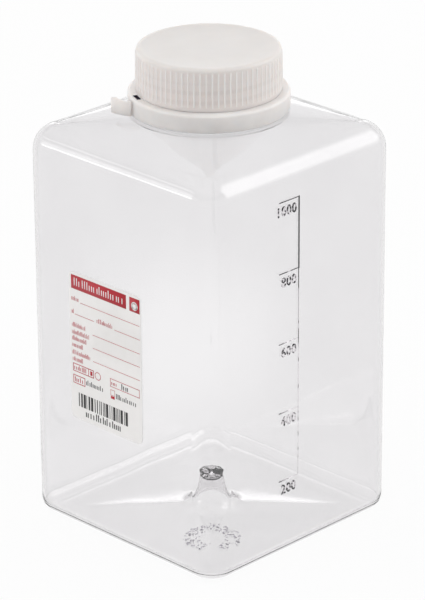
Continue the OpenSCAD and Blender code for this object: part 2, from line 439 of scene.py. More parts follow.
def neck_levels():
    """Rings of the neck outside: land, collar, tamper bead, thread and lip."""
    fine = 0.15 * MM
    collar_top, bead_top = neck_z + collar_h, bead_z + bead_t
    outline = [(collar_r + fine, neck_z), (collar_r, neck_z + fine),
               (collar_r, collar_top - fine), (collar_r - fine, collar_top),
               (neck_r + 0.5 * MM, collar_top), (neck_r + fine, collar_top + fine),
               (neck_r, collar_top + 0.5 * MM), (neck_r, bead_z - fine), (neck_r + fine, bead_z),
               (bead_r - fine, bead_z), (bead_r, bead_z + fine), (bead_r, bead_top - fine),
               (bead_r - fine, bead_top), (neck_r + fine, bead_top + 0.8 * MM), (neck_r, bead_top + 1.0 * MM)]
    levels = [round_ring(r, z) for r, z in outline]
    thread_top = neck_thread_z + neck_turns * thread_pitch + thread_root_w
    levels += [threaded_ring(neck_r, z) for z in spread(158.6 * MM, thread_top, 42)]
    lip = ((neck_r, 0.6), (neck_r - 0.18 * MM, 0.18), (neck_r - 0.6 * MM, 0),
           (mouth_r + 0.5 * MM, 0), (mouth_r + 0.15 * MM, 0.15), (mouth_r, 0.5))
    return levels + [round_ring(radius, mouth_z - drop * MM) for radius, drop in lip]


def bore_levels():
    """Rings down the bore of the neck to the inside of the shoulder."""
    z_in = neck_z - wall_t
    levels = [round_ring(mouth_r, z) for z in spread(mouth_z - 1 * MM, z_in + 0.9 * MM, 6)]
    levels += [round_ring(mouth_r + 0.9 * MM * (1 - math.cos(a)), z_in + 0.9 * MM * (1 - math.sin(a)))
               for a in spread(0, QUARTER_TURN, 5)]
    return levels


def gate_levels():
    """Rings over the inside of the push-up's top: the many-sided gate mark and its small stub."""
    top_z = dome_h + gate_t + gate_h
    disc_z = dome_h + gate_t
    stub = [gem_ring(radius, z) for radius, z in (
        (1.3 * MM, top_z), (1.8 * MM, top_z - 0.3 * MM), (2.0 * MM, disc_z + 0.2 * MM))]
    disc = [gem_ring(radius, disc_z - drop, gate_depth, gate_back)
            for radius, drop in ((4.5 * MM, 0), (gate_r, 0.4 * MM), (gate_r + 0.02 * MM, 0.6 * MM))]
    return stub + disc + [round_ring(dome_top_r + wall_t, dome_h + wall_t)]


def ripple(point, share, length, height, seed):
    """Slow waviness of blown plastic, of a given wavelength and height."""
    return noise.noise(point / length + Vector((seed, 0.3 * seed, 0.7 * seed))) * height * share


def loft(levels):
    """Closed shell through a list of rings, with a face across its first and its last ring."""
    built = bmesh.new()
    bmesh.ops.create_circle(built, cap_ends=True, segments=RING, radius=1)
    order = built.verts.layers.int.new("order")
    for index, vert in enumerate(built.verts):
        vert[order] = index
        vert.co = levels[0](index)
    edges = built.edges[:]
    for level in levels[1:]:
        made = bmesh.ops.extrude_edge_only(built, edges=edges)["geom"]
        new_verts = {g for g in made if isinstance(g, bmesh.types.BMVert)}
        for vert in new_verts:
            vert.co = level(vert[order])
        edges = [e for e in made if isinstance(e, bmesh.types.BMEdge)
                 and e.verts[0] in new_verts and e.verts[1] in new_verts]
    bmesh.ops.contextual_create(built, geom=edges)
    bmesh.ops.recalc_face_normals(built, faces=built.faces)
    return built


def bottle(material):
    """The blown body as one closed wall: outside from the base up, over the lip and down inside."""
    outside = [round_ring(dome_top_r * 0.5, dome_h), round_ring(dome_top_r, dome_h)]
    outside += floor_levels(0) + wall_levels(0) + neck_levels()
    inside = bore_levels()
    for levels in (wall_levels(wall_t), floor_levels(wall_t), gate_levels()):
        inside += reversed(levels)
    built = loft(outside + inside)
    wall_ripple_z = heel_in_r + 2 * MM
    for vert in built.verts:
        co = vert.co
        off_axis = max(abs(co.x), abs(co.y))
        if off_axis >= half_w - wall_t + 0.01 * MM or co.z >= neck_z - 3 * MM:
            continue
        if off_axis < recess_half + 2 * MM and co.z < dome_h + 5 * MM:
            fade = clamped((math.hypot(co.x, co.y) - dome_r) / (6 * MM))
            if co.z > 0.4 * MM:
                co.z += ripple(co.copy(), fade, *floor_ripple)
        elif co.z > wall_ripple_z:
            fade = clamped((co.z - wall_ripple_z) / (25 * MM))
            shift = ripple(Vector((co.x, co.y, co.z * 0.35)), fade, *wall_ripple)
            vert.co += Vector((co.x, co.y, 0)).normalized() * shift
    return piece("clear_bottle", built, "bottle", material, 32, "bottle")


# ---------------- moulded scale
def volume_scale(material):
    """Raised upright line and marks on the face beside the label."""
    built = bmesh.new()
    proud = 0.02 * MM
    depth = mark_out - proud
    x = half_w + proud + depth / 2
    span = (mark_count - 1) * mark_step
    bold = mark_step + mark_w
    block(built, (depth, mark_w, bold), (x, mark_y, mark_z + span + mark_w / 2 - bold / 2))
    faint = span - bold + mark_w / 2
    shallow = depth * 0.4
    block(built, (shallow, mark_w * 0.8, faint), (half_w + proud + shallow / 2, mark_y, mark_z + faint / 2))
    for k in range(mark_count):
        centre = (x, mark_y - mark_l / 2 - mark_w, mark_z + k * mark_step)
        block(built, (depth, mark_l, mark_w * 0.6), centre)
    bmesh.ops.bevel(built, geom=built.edges[:], offset=0.05 * MM, segments=2, profile=0.5,
                    affect="EDGES", material=-1)
    return piece("scale_lines", built, "bottle", material, 40)


DIGIT_SHARE = 0.72                  # height of a digit as a share of the font's size
DIGIT_NARROW = 0.92


def scale_digits(material):
    """Plain raised numbers under each mark of the scale."""
    digit_h = 3.5 * MM
    upright = Matrix.Rotation(QUARTER_TURN, 4, "Z") @ Matrix.Rotation(QUARTER_TURN, 4, "X")
    narrow = Matrix.Diagonal((DIGIT_NARROW, 1, 1, 1))
    for k in range(mark_count):
        words = bpy.data.curves.new(f"digits_{k}", "FONT")
        words.body = str(mark_ml * (k + 1))
        words.size = digit_h / DIGIT_SHARE
        words.align_x = "RIGHT"
        words.extrude = 0.12 * MM
        words.bevel_depth = 0.04 * MM
        words.space_character = 1.12
        lettered = bpy.data.objects.new(f"digits_{k}", words)
        scene.collection.objects.link(lettered)
        mesh = evaluated_mesh(lettered)
        bpy.data.objects.remove(lettered)
        base_z = mark_z + k * mark_step - 1.5 * MM - digit_h
        place = Matrix.Translation((half_w + 0.18 * MM, mark_y - 1.2 * MM, base_z))
        mesh.transform(place @ upright @ narrow)
        built = bmesh.new()
        built.from_mesh(mesh)
        piece(f"scale_digits_{mark_ml * (k + 1)}", merged(built), "bottle", material, 30)


# ---------------- cap, disc and ring
def screw_cap(material):
    """Ribbed cap: a turned shell whose ribs and inner thread are pushed out of it."""
    rim, top = cap_lo.z - seam_overlap, cap_hi.z
    height = top - rim
    top_r = cap_r - cap_draft
    rib_top = height - cap_edge_r - 0.3 * MM
    inner_top = top - cap_top_t
    step = 0.12 * MM

    def side(*heights):
        """Points of the skirt at heights over the rim."""
        return [(cap_r - cap_draft * z / height, rim + z) for z in heights]

    outline = [(0, top - 0.25 * MM), (top_r * 0.5, top - 0.24 * MM), (top_r - 3.2 * MM, top - 0.2 * MM),
               (top_r - 2.2 * MM, top - 0.05 * MM), (top_r - 1.7 * MM, top)]
    outline += reversed(arc((top_r - cap_edge_r, top - cap_edge_r), cap_edge_r, 0, 85, 8))
    outline += side(rib_top + 0.05 * MM, rib_top - 0.25 * MM, rib_top - 0.7 * MM)
    outline += side(*(height * share for share in (0.65, 0.5, 0.35, 0.22)))
    outline += side(rib_foot + 0.5 * MM, rib_foot + step, rib_foot, 0.5 * MM, 0.15 * MM)
    outline += [(cap_r - 0.15 * MM, rim), (cap_in_r + 0.3 * MM, rim), (cap_in_r, rim + 0.3 * MM)]
    outline += [(cap_in_r, z) for z in spread(rim + 0.3 * MM, inner_top - 1 * MM, 40)]
    outline += [(cap_in_r, inner_top - 0.4 * MM), (cap_in_r - 0.4 * MM, inner_top), (0, inner_top)]
    built = turned(outline, rib_count * rib_steps)
    for vert in built.verts:
        radius = math.hypot(vert.co.x, vert.co.y)
        angle = math.atan2(vert.co.y, vert.co.x)
        pushed = 0.0
        if radius > cap_r - 1 * MM:
            column = round(angle / FULL_TURN * rib_count * rib_steps) % rib_steps
            if column in (0, 1) and rib_foot + step * 0.5 < vert.co.z - rim < rib_top:
                pushed = rib_out
        elif abs(radius - cap_in_r) < 0.05 * MM:
            pushed = -cap_thread_depth * thread_lift(angle, vert.co.z, cap_thread_z, cap_turns)
        if pushed:
            vert.co.x *= (radius + pushed) / radius
            vert.co.y *= (radius + pushed) / radius
    return piece("ribbed_cap", built, "cap", material, 40, "screw_cap")


def sealing_disc(material):
    """Foam wad with a softly rounded edge."""
    radius = disc_hi.x
    edge = 0.2 * MM
    outline = [(0, disc_lo.z), (radius - edge, disc_lo.z), (radius, disc_lo.z + edge),
               (radius, disc_hi.z - edge), (radius - edge, disc_hi.z), (0, disc_hi.z)]
    return piece("foam_disc", turned(outline, 128), "liner", material, 50, "sealing_disc")


def tamper_ring(material, slot_shade):
    """Band under the cap, with a rounded upper edge, a ledge above and a lip below."""
    low, high = ring_lo.z, ring_hi.z + seam_overlap
    edge, foot_edge = 1.0 * MM, 0.4 * MM
    fine, inside = 0.2 * MM, 0.3 * MM
    ledge_z, lip_z = high - ring_ledge_t, low + ring_lip_h
    outline = [(ring_lip_r, low + fine), (ring_lip_r + fine, low), (ring_r - foot_edge, low)]
    outline += arc((ring_r - foot_edge, low + foot_edge), foot_edge, -60, 0, 3)
    outline += [(ring_r, low + (high - low) * share) for share in (0.3, 0.55, 0.78)]
    outline += arc((ring_r - edge, high - edge), edge, 0, 90, 8)
    outline += [(ring_ledge_r + fine, high), (ring_ledge_r, high - fine), (ring_ledge_r, ledge_z + fine),
                (ring_ledge_r + fine, ledge_z), (ring_in_r - inside, ledge_z), (ring_in_r, ledge_z - inside),
                (ring_in_r, lip_z + inside), (ring_in_r - inside, lip_z), (ring_lip_r + fine, lip_z),
                (ring_lip_r, lip_z - fine)]
    outline.append(outline[0])
    ring = piece("tamper_band", turned(outline, 240), "ring", material, 40, "tamper_ring")
    slot = bmesh.new()
    made = block(slot, (1.5 * MM, 4.6 * MM, 4 * MM), (25.75 * MM, 0, high - 0.5 * MM))
    bmesh.ops.rotate(slot, cent=(0, 0, 0), matrix=Matrix.Rotation(slot_angle, 3, "Z"), verts=made)
    cut_away(ring, slot, slot_shade)
    return ring


def pull_tab(material):
    """Curved tab that swells to a thick free end."""
    low, high = tab_lo.z, tab_hi.z
    side = Vector((math.cos(tab_heading - QUARTER_TURN), math.sin(tab_heading - QUARTER_TURN), 0))
    centre = tab_axis + side * tab_curve_r
    start = tab_heading + QUARTER_TURN
    round_r = 0.25 * MM
    half_t = tab_t / 2
    cut = round_r * 0.3
    section = [(half_t - round_r, low), (half_t - cut, low + cut), (half_t, low + round_r),
               (half_t, high - round_r), (half_t - cut, high - cut), (half_t - round_r, high)]
    section += [(-r, z) for r, z in reversed(section)]
    built = bmesh.new()
    ring = []
    for r, z in section:
        ring.append(built.verts.new((centre.x + (tab_curve_r + r) * math.cos(start),
                                     centre.y + (tab_curve_r + r) * math.sin(start), z)))
    face = built.faces.new(ring)
    sweep = tab_sweep + math.radians(6)
    bmesh.ops.spin(built, geom=[face], cent=centre, axis=(0, 0, 1), dvec=(0, 0, 0),
                   angle=-sweep, steps=22, use_duplicate=False)
    for vert in built.verts:
        arm = Vector((vert.co.x - centre.x, vert.co.y - centre.y))
        turned_by = (start - math.atan2(arm.y, arm.x)) % FULL_TURN
        share = min(1.0, turned_by / sweep) if turned_by < math.pi else 0.0
        swell = 1 + tab_swell * clamped((share - swell_from) / (swell_to - swell_from)) ** 1.5
        if share > tip_from:
            swell = 1 + tab_swell - 1.1 * ((share - tip_from) / (1 - tip_from)) ** 2
        off = arm.length - tab_curve_r
        arm = arm.normalized() * (tab_curve_r + off * swell)
        vert.co.x, vert.co.y = centre.x + arm.x, centre.y + arm.y
    bmesh.ops.recalc_face_normals(built, faces=built.faces)
    return piece("tear_tab", built, "tab", material, 50, "pull_tab")


# ---------------- label
PRINT_T = 0.02 * MM
PRINT_LIFT = 0.004 * MM             # keeps the print off the paper


def label_paper(material):
    """Sheet with rounded corners."""
    width, height = label_hi.x - label_lo.x, label_hi.z - label_lo.z
    radius = 2.3 * MM
    built = bmesh.new()
    for side in (-1, 1):
        for up in (-1, 1):
            made = bmesh.ops.create_circle(built, cap_ends=False, segments=32, radius=radius)["verts"]
            keep = [v for v in made if v.co.x * side > -SAME_POINT and v.co.y * up > -SAME_POINT]
            bmesh.ops.delete(built, geom=[v for v in made if v not in keep], context="VERTS")
            corner = (side * (width / 2 - radius), up * (height / 2 - radius), 0)
            bmesh.ops.translate(built, vec=corner, verts=keep)
    bmesh.ops.convex_hull(built, input=built.verts)
    bmesh.ops.dissolve_limit(built, angle_limit=0.01, verts=built.verts[:], edges=built.edges[:])
    spare = built.faces[1:]
    if spare:
        bmesh.ops.delete(built, geom=spare, context="FACES_ONLY")
    raised = bmesh.ops.extrude_face_region(built, geom=built.faces[:])["geom"]
    lifted = [g for g in raised if isinstance(g, bmesh.types.BMVert)]
    bmesh.ops.translate(built, vec=(0, 0, label_hi.y - label_lo.y), verts=lifted)
    bmesh.ops.rotate(built, cent=(0, 0, 0), matrix=Matrix.Rotation(QUARTER_TURN, 3, "X"), verts=built.verts)
    middle = (label_lo + label_hi) / 2
    bmesh.ops.translate(built, vec=(middle.x, label_hi.y, middle.z), verts=built.verts)
    bmesh.ops.recalc_face_normals(built, faces=built.faces)
    return piece("label_sheet", built, "bottle", material, 30, "label")


def printed(x, z, layer):
    """Place of a print's middle on the label, given in millimetres, on one of its layers of ink."""
    return x * MM, label_lo.y - PRINT_LIFT - PRINT_T * (layer + 0.5), z * MM


def bar(built, x0, z0, x1, z1, layer=0):
    """Flat printed bar on the label between two corners, in millimetres."""
    size = (abs(x1 - x0) * MM, PRINT_T, abs(z1 - z0) * MM)
    block(built, size, printed((x0 + x1) / 2, (z0 + z1) / 2, layer))


def frame_box(built, x0, z0, x1, z1, line):
    """Printed outline of a box."""
    bar(built, x0, z0, x1, z0 + line)
    bar(built, x0, z1 - line, x1, z1)
    bar(built, x0, z0, x0 + line, z1)
    bar(built, x1 - line, z0, x1, z1)


def greeked(built, rng, x0, z0, x1, height, pen):
    """Row of plain strokes that stands for small print without any letters."""
    x = x0
    while x < x1 - pen * 1.5:
        tall = height * rng.choice((0.68, 0.72, 1.0))
        bar(built, x, z0, x + pen, z0 + tall)
        x += pen * rng.choice((1.9, 2.1, 2.9))


def printed_ring(built, x, z, radius, line, layer=0):
    """Printed circle, of bars that overlap a little."""
    count = 20
    length = FULL_TURN * radius / count * 1.1
    for k in range(count):
        spin = Matrix.Rotation(FULL_TURN * k / count, 3, "Y")
        made = block(built, (length * MM, PRINT_T, line * MM), (0, 0, radius * MM))
        bmesh.ops.rotate(built, cent=(0, 0, 0), matrix=spin, verts=made)
        bmesh.ops.translate(built, vec=printed(x, z, layer), verts=made)


def label_print(red_ink, black_ink, white_ink):
    """Form lines, boxes and bars of a plain sample label, with strokes in place of words, in millimetres."""
    rng = random.Random(7)
    thin = 0.17
    red = bmesh.new()
    for corners in ((-21.6, 91.3, 5.4, 96.4), (7.0, 91.3, 11.9, 96.4), (-13.9, 60.5, -13.62, 63.5),
                    (-13.0, 61.2, -11.9, 62.8), (-2.9, 55.8, -1.0, 56.8)):
        bar(red, *corners)
    for x0, x1, z in ((-17.3, 11.7, 86.75), (-20.0, -10.6, 81.9), (-0.5, 11.8, 81.8),
                      (-11.4, 11.7, 76.65), (-11.5, 11.6, 71.75), (-11.5, 11.6, 66.8)):
        bar(red, x0, z, x1, z + thin)
    for box in ((-21.5, 60.5, -11.2, 63.5, 0.28), (-21.5, 56.0, -15.6, 59.2, 0.28),
                (-3.1, 60.2, 11.3, 63.3, 0.2), (-3.0, 57.0, -0.9, 59.2, 0.15)):
        frame_box(red, *box)
    for x0, x1, z in ((-21.6, -17.9, 86.9), (-21.6, -20.5, 82.0), (-9.2, -1.3, 81.9), (-21.6, -14.6, 77.1),
                      (-21.6, -12.6, 74.4), (-21.6, -14.2, 72.1), (-21.6, -16.2, 69.6), (-21.6, -12.8, 66.8),
                      (-21.6, -16.5, 64.4)):
        greeked(red, rng, x0, z, x1, 1.7, 0.2)
    for row in ((-20.9, 61.2, -14.3, 1.7, 0.3), (-20.7, 56.7, -16.3, 1.8, 0.35), (-2.5, 61.0, 0.5, 1.5, 0.28)):
        greeked(red, rng, *row)
    printed_ring(red, -9.2, 62.0, 1.35, 0.25)
    piece("label_print_red", red, "bottle", red_ink)

    black = bmesh.new()
    for row in ((2.4, 60.7, 5.8, 2.1, 0.4), (-15.1, 56.9, -6.5, 1.9, 0.36), (-0.3, 56.4, 10.1, 1.9, 0.36),
                (-15.6, 44.7, 3.2, 2.6, 0.48)):
        greeked(black, rng, *row)
    x = -19.0
    while x < 5.6:
        width = rng.choice((0.3, 0.45, 0.8, 1.1))
        bar(black, x, 47.8, min(x + width, 6.0), 52.9)
        x += width + rng.choice((0.35, 0.45, 0.7))
    piece("label_print_black", black, "bottle", black_ink)

    white = bmesh.new()
    x = -20.2
    while x < 4.0:
        bar(white, x, 92.6, x + 0.42, 92.6 + rng.choice((2.0, 2.0, 2.9)), layer=1)
        x += rng.choice((1.0, 1.15, 1.15, 1.7))
    bar(white, 8.3, 92.5, 10.6, 94.3, layer=1)
    printed_ring(white, 9.45, 93.5, 1.3, 0.5, layer=1)
    piece("label_print_white", white, "bottle", white_ink)


# ---------------- dried dose
CRYSTAL_COUNT = 230
DOSE_HOLE = 0.45                    # radius of the bare middle as a share of the whole
DOSE_GAP = 0.35                     # share of the radius beyond which the side nearest the corner is bare


def dose(material):
    """Ring of small faceted crystals on the floor, open on its side nearest the front corner."""
    rng = random.Random(11)
    middle = (dose_lo + dose_hi) / 2
    reach = (dose_hi.x - dose_lo.x) / 2 * 0.97
    built = bmesh.new()
    for _ in range(CRYSTAL_COUNT):
        angle = rng.uniform(0, FULL_TURN)
        radius = reach * (DOSE_HOLE + (1 - DOSE_HOLE) * math.sqrt(rng.random()))
        x = middle.x + radius * math.cos(angle)
        y = middle.y + radius * math.sin(angle)
        if min(x - middle.x, middle.y - y) > reach * DOSE_GAP:
            continue
        size = rng.uniform(0.12 * MM, 0.42 * MM)
        made = bmesh.ops.create_icosphere(built, subdivisions=1, radius=size)["verts"]
        stretch = (rng.uniform(0.8, 1.7), rng.uniform(0.7, 1.3), rng.uniform(0.3, 0.7))
        bmesh.ops.scale(built, vec=stretch, verts=made)
        spin = Matrix.Rotation(rng.uniform(0, FULL_TURN), 3, "Z")
        bmesh.ops.rotate(built, cent=(0, 0, 0), matrix=spin, verts=made)
        lowest = min(v.co.z for v in made)
        on_plastic = wall_t + floor_rise(x, y) + 0.15 * MM
        bmesh.ops.translate(built, vec=(x, y, on_plastic - lowest), verts=made)
    piece("dose_crystals", built, "bottle", material, 10, "thiosulfate_dose")


# ---------------- shader nodes
def feed(tree, value, socket):
    """Links a socket to another node's output, or sets it to a plain value."""
    if isinstance(value, bpy.types.NodeSocket):
        tree.links.new(value, socket)
    else:
        socket.default_value = value


def add_node(tree, kind, inputs, **settings):
    """Adds a node, makes its settings, and feeds its inputs by name or number."""
    node = tree.nodes.new(kind)
    for name, value in settings.items():
        setattr(node, name, value)
    for key, value in inputs.items():
        feed(tree, value, node.inputs[key])
    return node


def calculate(tree, operation, *values, clamp=False):
    """Result of a Math node."""
    inputs = dict(enumerate(values))
    return add_node(tree, "ShaderNodeMath", inputs, operation=operation, use_clamp=clamp).outputs[0]


def measure(tree, operation, *vectors):
    """Length, distance or product of vectors."""
    inputs = dict(enumerate(vectors))
    return add_node(tree, "ShaderNodeVectorMath", inputs, operation=operation).outputs["Value"]


def ranged(tree, value, low, high, top=1.0, smooth=False):
    """0 at the value low, rising to top at the value high, evenly or softly."""
    inputs = {"Value": value, "From Min": low, "From Max": high, "To Max": top}
    kind = "SMOOTHSTEP" if smooth else "LINEAR"
    return add_node(tree, "ShaderNodeMapRange", inputs, interpolation_type=kind).outputs["Result"]


def blended(tree, share, first, second):
    """Mix of two colours, from the first at 0 to the second at 1."""
    inputs = {"Factor": share, "A": first, "B": second}
    return add_node(tree, "ShaderNodeMix", inputs, data_type="RGBA").outputs["Result"]


def ramped(tree, value, stops):
    """Colour ramp through (position, colour) stops that lie between 0 and 1."""
    node = add_node(tree, "ShaderNodeValToRGB", {"Fac": value})
    elements = node.color_ramp.elements
    for position, colour in stops:
        elements.new(position).color = (*colour, 1)
    elements.remove(elements[0])
    elements.remove(elements[-1])
    return node.outputs["Color"]


def grey(value):
    """Colour with three equal parts."""
    return (value, value, value)


def object_place(tree):
    """Object coordinates, which move with the piece."""
    return tree.nodes.new("ShaderNodeTexCoord").outputs["Object"]


def axes(tree, vector):
    """X, Y and Z outputs of a vector."""
    return add_node(tree, "ShaderNodeSeparateXYZ", {"Vector": vector}).outputs


def surface_mix(tree, share, first, second):
    """Puts a mix of two shaders on the surface."""
    mix = add_node(tree, "ShaderNodeMixShader", {"Fac": share, 1: first, 2: second})
    tree.links.new(mix.outputs["Shader"], tree.nodes["Material Output"].inputs["Surface"])


def add_bump(tree, height, shader, distance, strength):
    """Gives a shader a fine relief."""
    bump = add_node(tree, "ShaderNodeBump", {"Strength": strength, "Distance": distance, "Height": height})
    tree.links.new(bump.outputs["Normal"], shader.inputs["Normal"])


def moulded_group():
    """Slow flow marks and a fine satin grain of moulded plastic, from Object coordinates."""
    group = bpy.data.node_groups.new("moulded_plastic", "ShaderNodeTree")
    for name, value in (("Flow Scale", 40), ("Grain Scale", 1500), ("Grain Share", 0.3)):
        socket = group.interface.new_socket(name=name, in_out="INPUT", socket_type="NodeSocketFloat")
        socket.default_value = value
    for name in ("Height", "Variation"):
        group.interface.new_socket(name=name, in_out="OUTPUT", socket_type="NodeSocketFloat")
    given = group.nodes.new("NodeGroupInput").outputs
    place = object_place(group)
    flow = add_node(group, "ShaderNodeTexNoise", {"Vector": place, "Scale": given["Flow Scale"], "Detail": 2})
    grain = add_node(group, "ShaderNodeTexNoise", {"Vector": place, "Scale": given["Grain Scale"], "Detail": 1})
    shares = {"Factor": given["Grain Share"], "A": flow.outputs["Fac"], "B": grain.outputs["Fac"]}
    height = add_node(group, "ShaderNodeMix", shares, data_type="FLOAT").outputs["Result"]
    add_node(group, "NodeGroupOutput", {"Height": height, "Variation": flow.outputs["Fac"]})
    return group


MOULDED = moulded_group()


def marks(tree, flow_scale, grain_scale, grain_share):
    """Outputs of the shared flow marks and grain, at scales of their own."""
    inputs = {"Flow Scale": flow_scale, "Grain Scale": grain_scale, "Grain Share": grain_share}
    return add_node(tree, "ShaderNodeGroup", inputs, node_tree=MOULDED).outputs


def new_material(name, looks):
    """Material with the given values on its principled shader."""
    material = bpy.data.materials.new(name)
    material.use_nodes = True
    tree = material.node_tree
    shader = tree.nodes["Principled BSDF"]
    for key, value in looks.items():
        shader.inputs[key].default_value = value
    return material, tree, shader


def let_light_through(tree, shader, shadow_tint):
    """Lets lamps shine through clear plastic, which would cast a black shadow otherwise."""
    clear = add_node(tree, "ShaderNodeBsdfTransparent", {"Color": (*shadow_tint, 1)})
    path = tree.nodes.new("ShaderNodeLightPath")
    surface_mix(tree, path.outputs["Is Shadow Ray"], shader.outputs["BSDF"], clear.outputs["BSDF"])


# ---------------- materials
# Painted light on the blown wall: patches where its tint lifts towards clear, so the wall looks lighter there:
# centre, reach, and share of the tint that goes
PAINTED_LIGHT_SPOTS = ((Vector((24, -45, 82)) * MM, 60 * MM, 1), (Vector((-45, 30, 42)) * MM, 50 * MM, 0.8))
PAINTED_LIGHT_CORE_R = 8 * MM
PAINTED_LIGHT_TINT = (1, 0.997, 1, 1)

# Painted shade of the clear raised lines and digits by height in millimetres: how dark their strokes are
# painted
LINE_PAINTED_SHADE = ((60, 0.02), (95, 0.1), (104, 0.75), (108, 1.3), (130, 1.3))
DIGIT_PAINTED_SHADE = ((27, 0.55), (40, 0.25), (52, 0.16), (77, 0.36), (102, 0.5), (128, 0.58))

THREAD_SHADE_Z = 161.6 * MM         # middle of the height over which the cap's thread shows


def gate_painted_shade(tree, place, around):
    """Painted shade: dark facets on one side of the thick gate mark, mixed into the tint, which stays as it is
    elsewhere.
    """
    diagonal = math.sqrt(0.5)
    forward = measure(tree, "DOT_PRODUCT", place, (diagonal, -diagonal, 0))
    sideways = calculate(tree, "ABSOLUTE", measure(tree, "DOT_PRODUCT", place, (diagonal, diagonal, 0)))
    height = measure(tree, "DOT_PRODUCT", place, (0, 0, 1))
    disc_z = dome_h + gate_t
    dark = calculate(tree, "GREATER_THAN", forward, -4.5 * MM)
    limits = ((forward, "LESS_THAN", 2.3 * MM), (sideways, "GREATER_THAN", 0.5 * MM),
              (sideways, "LESS_THAN", 5.4 * MM), (height, "GREATER_THAN", disc_z - 0.7 * MM),
              (height, "LESS_THAN", disc_z + 0.35 * MM))
    for side, operation, limit in limits:
        dark = calculate(tree, "MULTIPLY", dark, calculate(tree, operation, side, limit))
    # Painted shade: most facets near black, a few pale.
    facets = add_node(tree, "ShaderNodeTexVoronoi", {"Vector": place, "Scale": 420})
    shade = add_node(tree, "ShaderNodeValToRGB", {"Fac": facets.outputs["Color"]})
    shade.color_ramp.interpolation = "CONSTANT"
    shade.color_ramp.elements[0].color = (*grey(0.001), 1)
    shade.color_ramp.elements[1].position = 0.75
    shade.color_ramp.elements[1].color = (0.8, 0.78, 0.8, 1)
    return blended(tree, dark, around, shade.outputs["Color"])


def clear_plastic():
    """Clear blown plastic, with a little tint in its depth, painted light in lighter patches and painted shade
    on the gate mark.
    """
    looks = {"Transmission Weight": 1, "IOR": 1.57, "Roughness": 0.0}
    material, tree, shader = new_material("clear_plastic", looks)
    flow = marks(tree, 45, 400, 0.0)
    place = object_place(tree)
    tint = ramped(tree, flow["Variation"], ((0.3, (0.925, 0.92, 0.925)), (0.7, (0.942, 0.938, 0.942))))
    # Painted light: the tint lifts towards clear near each spot.
    for centre, reach, share in PAINTED_LIGHT_SPOTS:
        away = measure(tree, "DISTANCE", place, centre)
        tint = blended(tree, ranged(tree, away, reach, PAINTED_LIGHT_CORE_R, share, smooth=True), tint, PAINTED_LIGHT_TINT)
    # The gate mark's dark facets are painted shade.
    tree.links.new(gate_painted_shade(tree, place, tint), shader.inputs["Base Color"])
    add_bump(tree, flow["Height"], shader, 0.3 * MM, 0.15)
    body = add_node(tree, "ShaderNodeVolumeAbsorption", {"Color": (0.32, 0.28, 0.31, 1), "Density": 75})
    tree.links.new(body.outputs["Volume"], tree.nodes["Material Output"].inputs["Volume"])
    let_light_through(tree, shader, (0.93, 0.93, 0.935))
    return material


def scale_plastic(name, darkness, patch_scale):
    """Raised lines and digits: clear plastic with painted shade in broken dark strokes, darker or lighter by
    height.
    """
    looks = {"Transmission Weight": 1, "IOR": 1.57, "Roughness": 0.08}
    material, tree, shader = new_material(name, looks)
    top = mark_z + (mark_count - 1) * mark_step + 2 * MM
    place = object_place(tree)
    height = calculate(tree, "DIVIDE", axes(tree, place)["Z"], top, clamp=True)
    by_height = ramped(tree, height, [(z * MM / top, grey(value)) for z, value in darkness])
    patches = add_node(tree, "ShaderNodeTexNoise", {"Vector": place, "Scale": patch_scale, "Detail": 0})
    broken = ranged(tree, patches.outputs["Fac"], 0.34, 0.66)
    sharp = ranged(tree, calculate(tree, "SUBTRACT", by_height, broken), -0.12, 0.12)
    # Painted shade, not ink: the strokes go from pale grey to near black where the clear edges should look
    # dark.
    ink = blended(tree, sharp, (0.88, 0.85, 0.87, 1), (0.012, 0.01, 0.014, 1))
    tree.links.new(ink, shader.inputs["Base Color"])
    add_bump(tree, marks(tree, 300, 900, 0.4)["Height"], shader, 0.2 * MM, 0.4)
    let_light_through(tree, shader, grey(0.9))
    return material


def thread_shade(tree):
    """Mask of painted shade in the thread's bands inside the skirt, where the plastic is thicker."""
    x, y, z = axes(tree, object_place(tree))
    angle = calculate(tree, "ARCTAN2", y, x)
    turn = calculate(tree, "DIVIDE", calculate(tree, "SUBTRACT", angle, thread_start), FULL_TURN)
    rise = calculate(tree, "DIVIDE", calculate(tree, "SUBTRACT", z, cap_thread_z + 0.3 * MM), thread_pitch)
    # 10 whole turns keep the value above 0, and the half puts the thread at 0.5
    phase = calculate(tree, "FRACT", calculate(tree, "ADD", calculate(tree, "SUBTRACT", rise, turn), 10.5))
    away = calculate(tree, "ABSOLUTE", calculate(tree, "SUBTRACT", phase, 0.5))
    band = ranged(tree, away, 0.30, 0.10, smooth=True)
    middle = calculate(tree, "ABSOLUTE", calculate(tree, "SUBTRACT", z, THREAD_SHADE_Z))
    window = ranged(tree, middle, 6.0 * MM, 4.4 * MM, smooth=True)
    return calculate(tree, "MULTIPLY", band, window)


def skirt_masks(tree):
    """Masks of the cap's thin skirt, which gets painted shade, and of the ribs on it, which get a painted
    highlight.
    """
    x, y, z = axes(tree, object_place(tree))
    edge_z = cap_hi.z - cap_edge_r
    skirt = ranged(tree, z, edge_z, edge_z - 0.8 * MM)
    flat = add_node(tree, "ShaderNodeCombineXYZ", {"X": x, "Y": y})
    draft = cap_draft / (cap_hi.z - cap_lo.z)
    upright = calculate(tree, "MULTIPLY_ADD", z, draft, measure(tree, "LENGTH", flat.outputs["Vector"]))
    groove_r = cap_r + draft * cap_lo.z
    rib = ranged(tree, upright, groove_r + rib_out * 0.35, groove_r + rib_out * 0.85)
    return skirt, rib


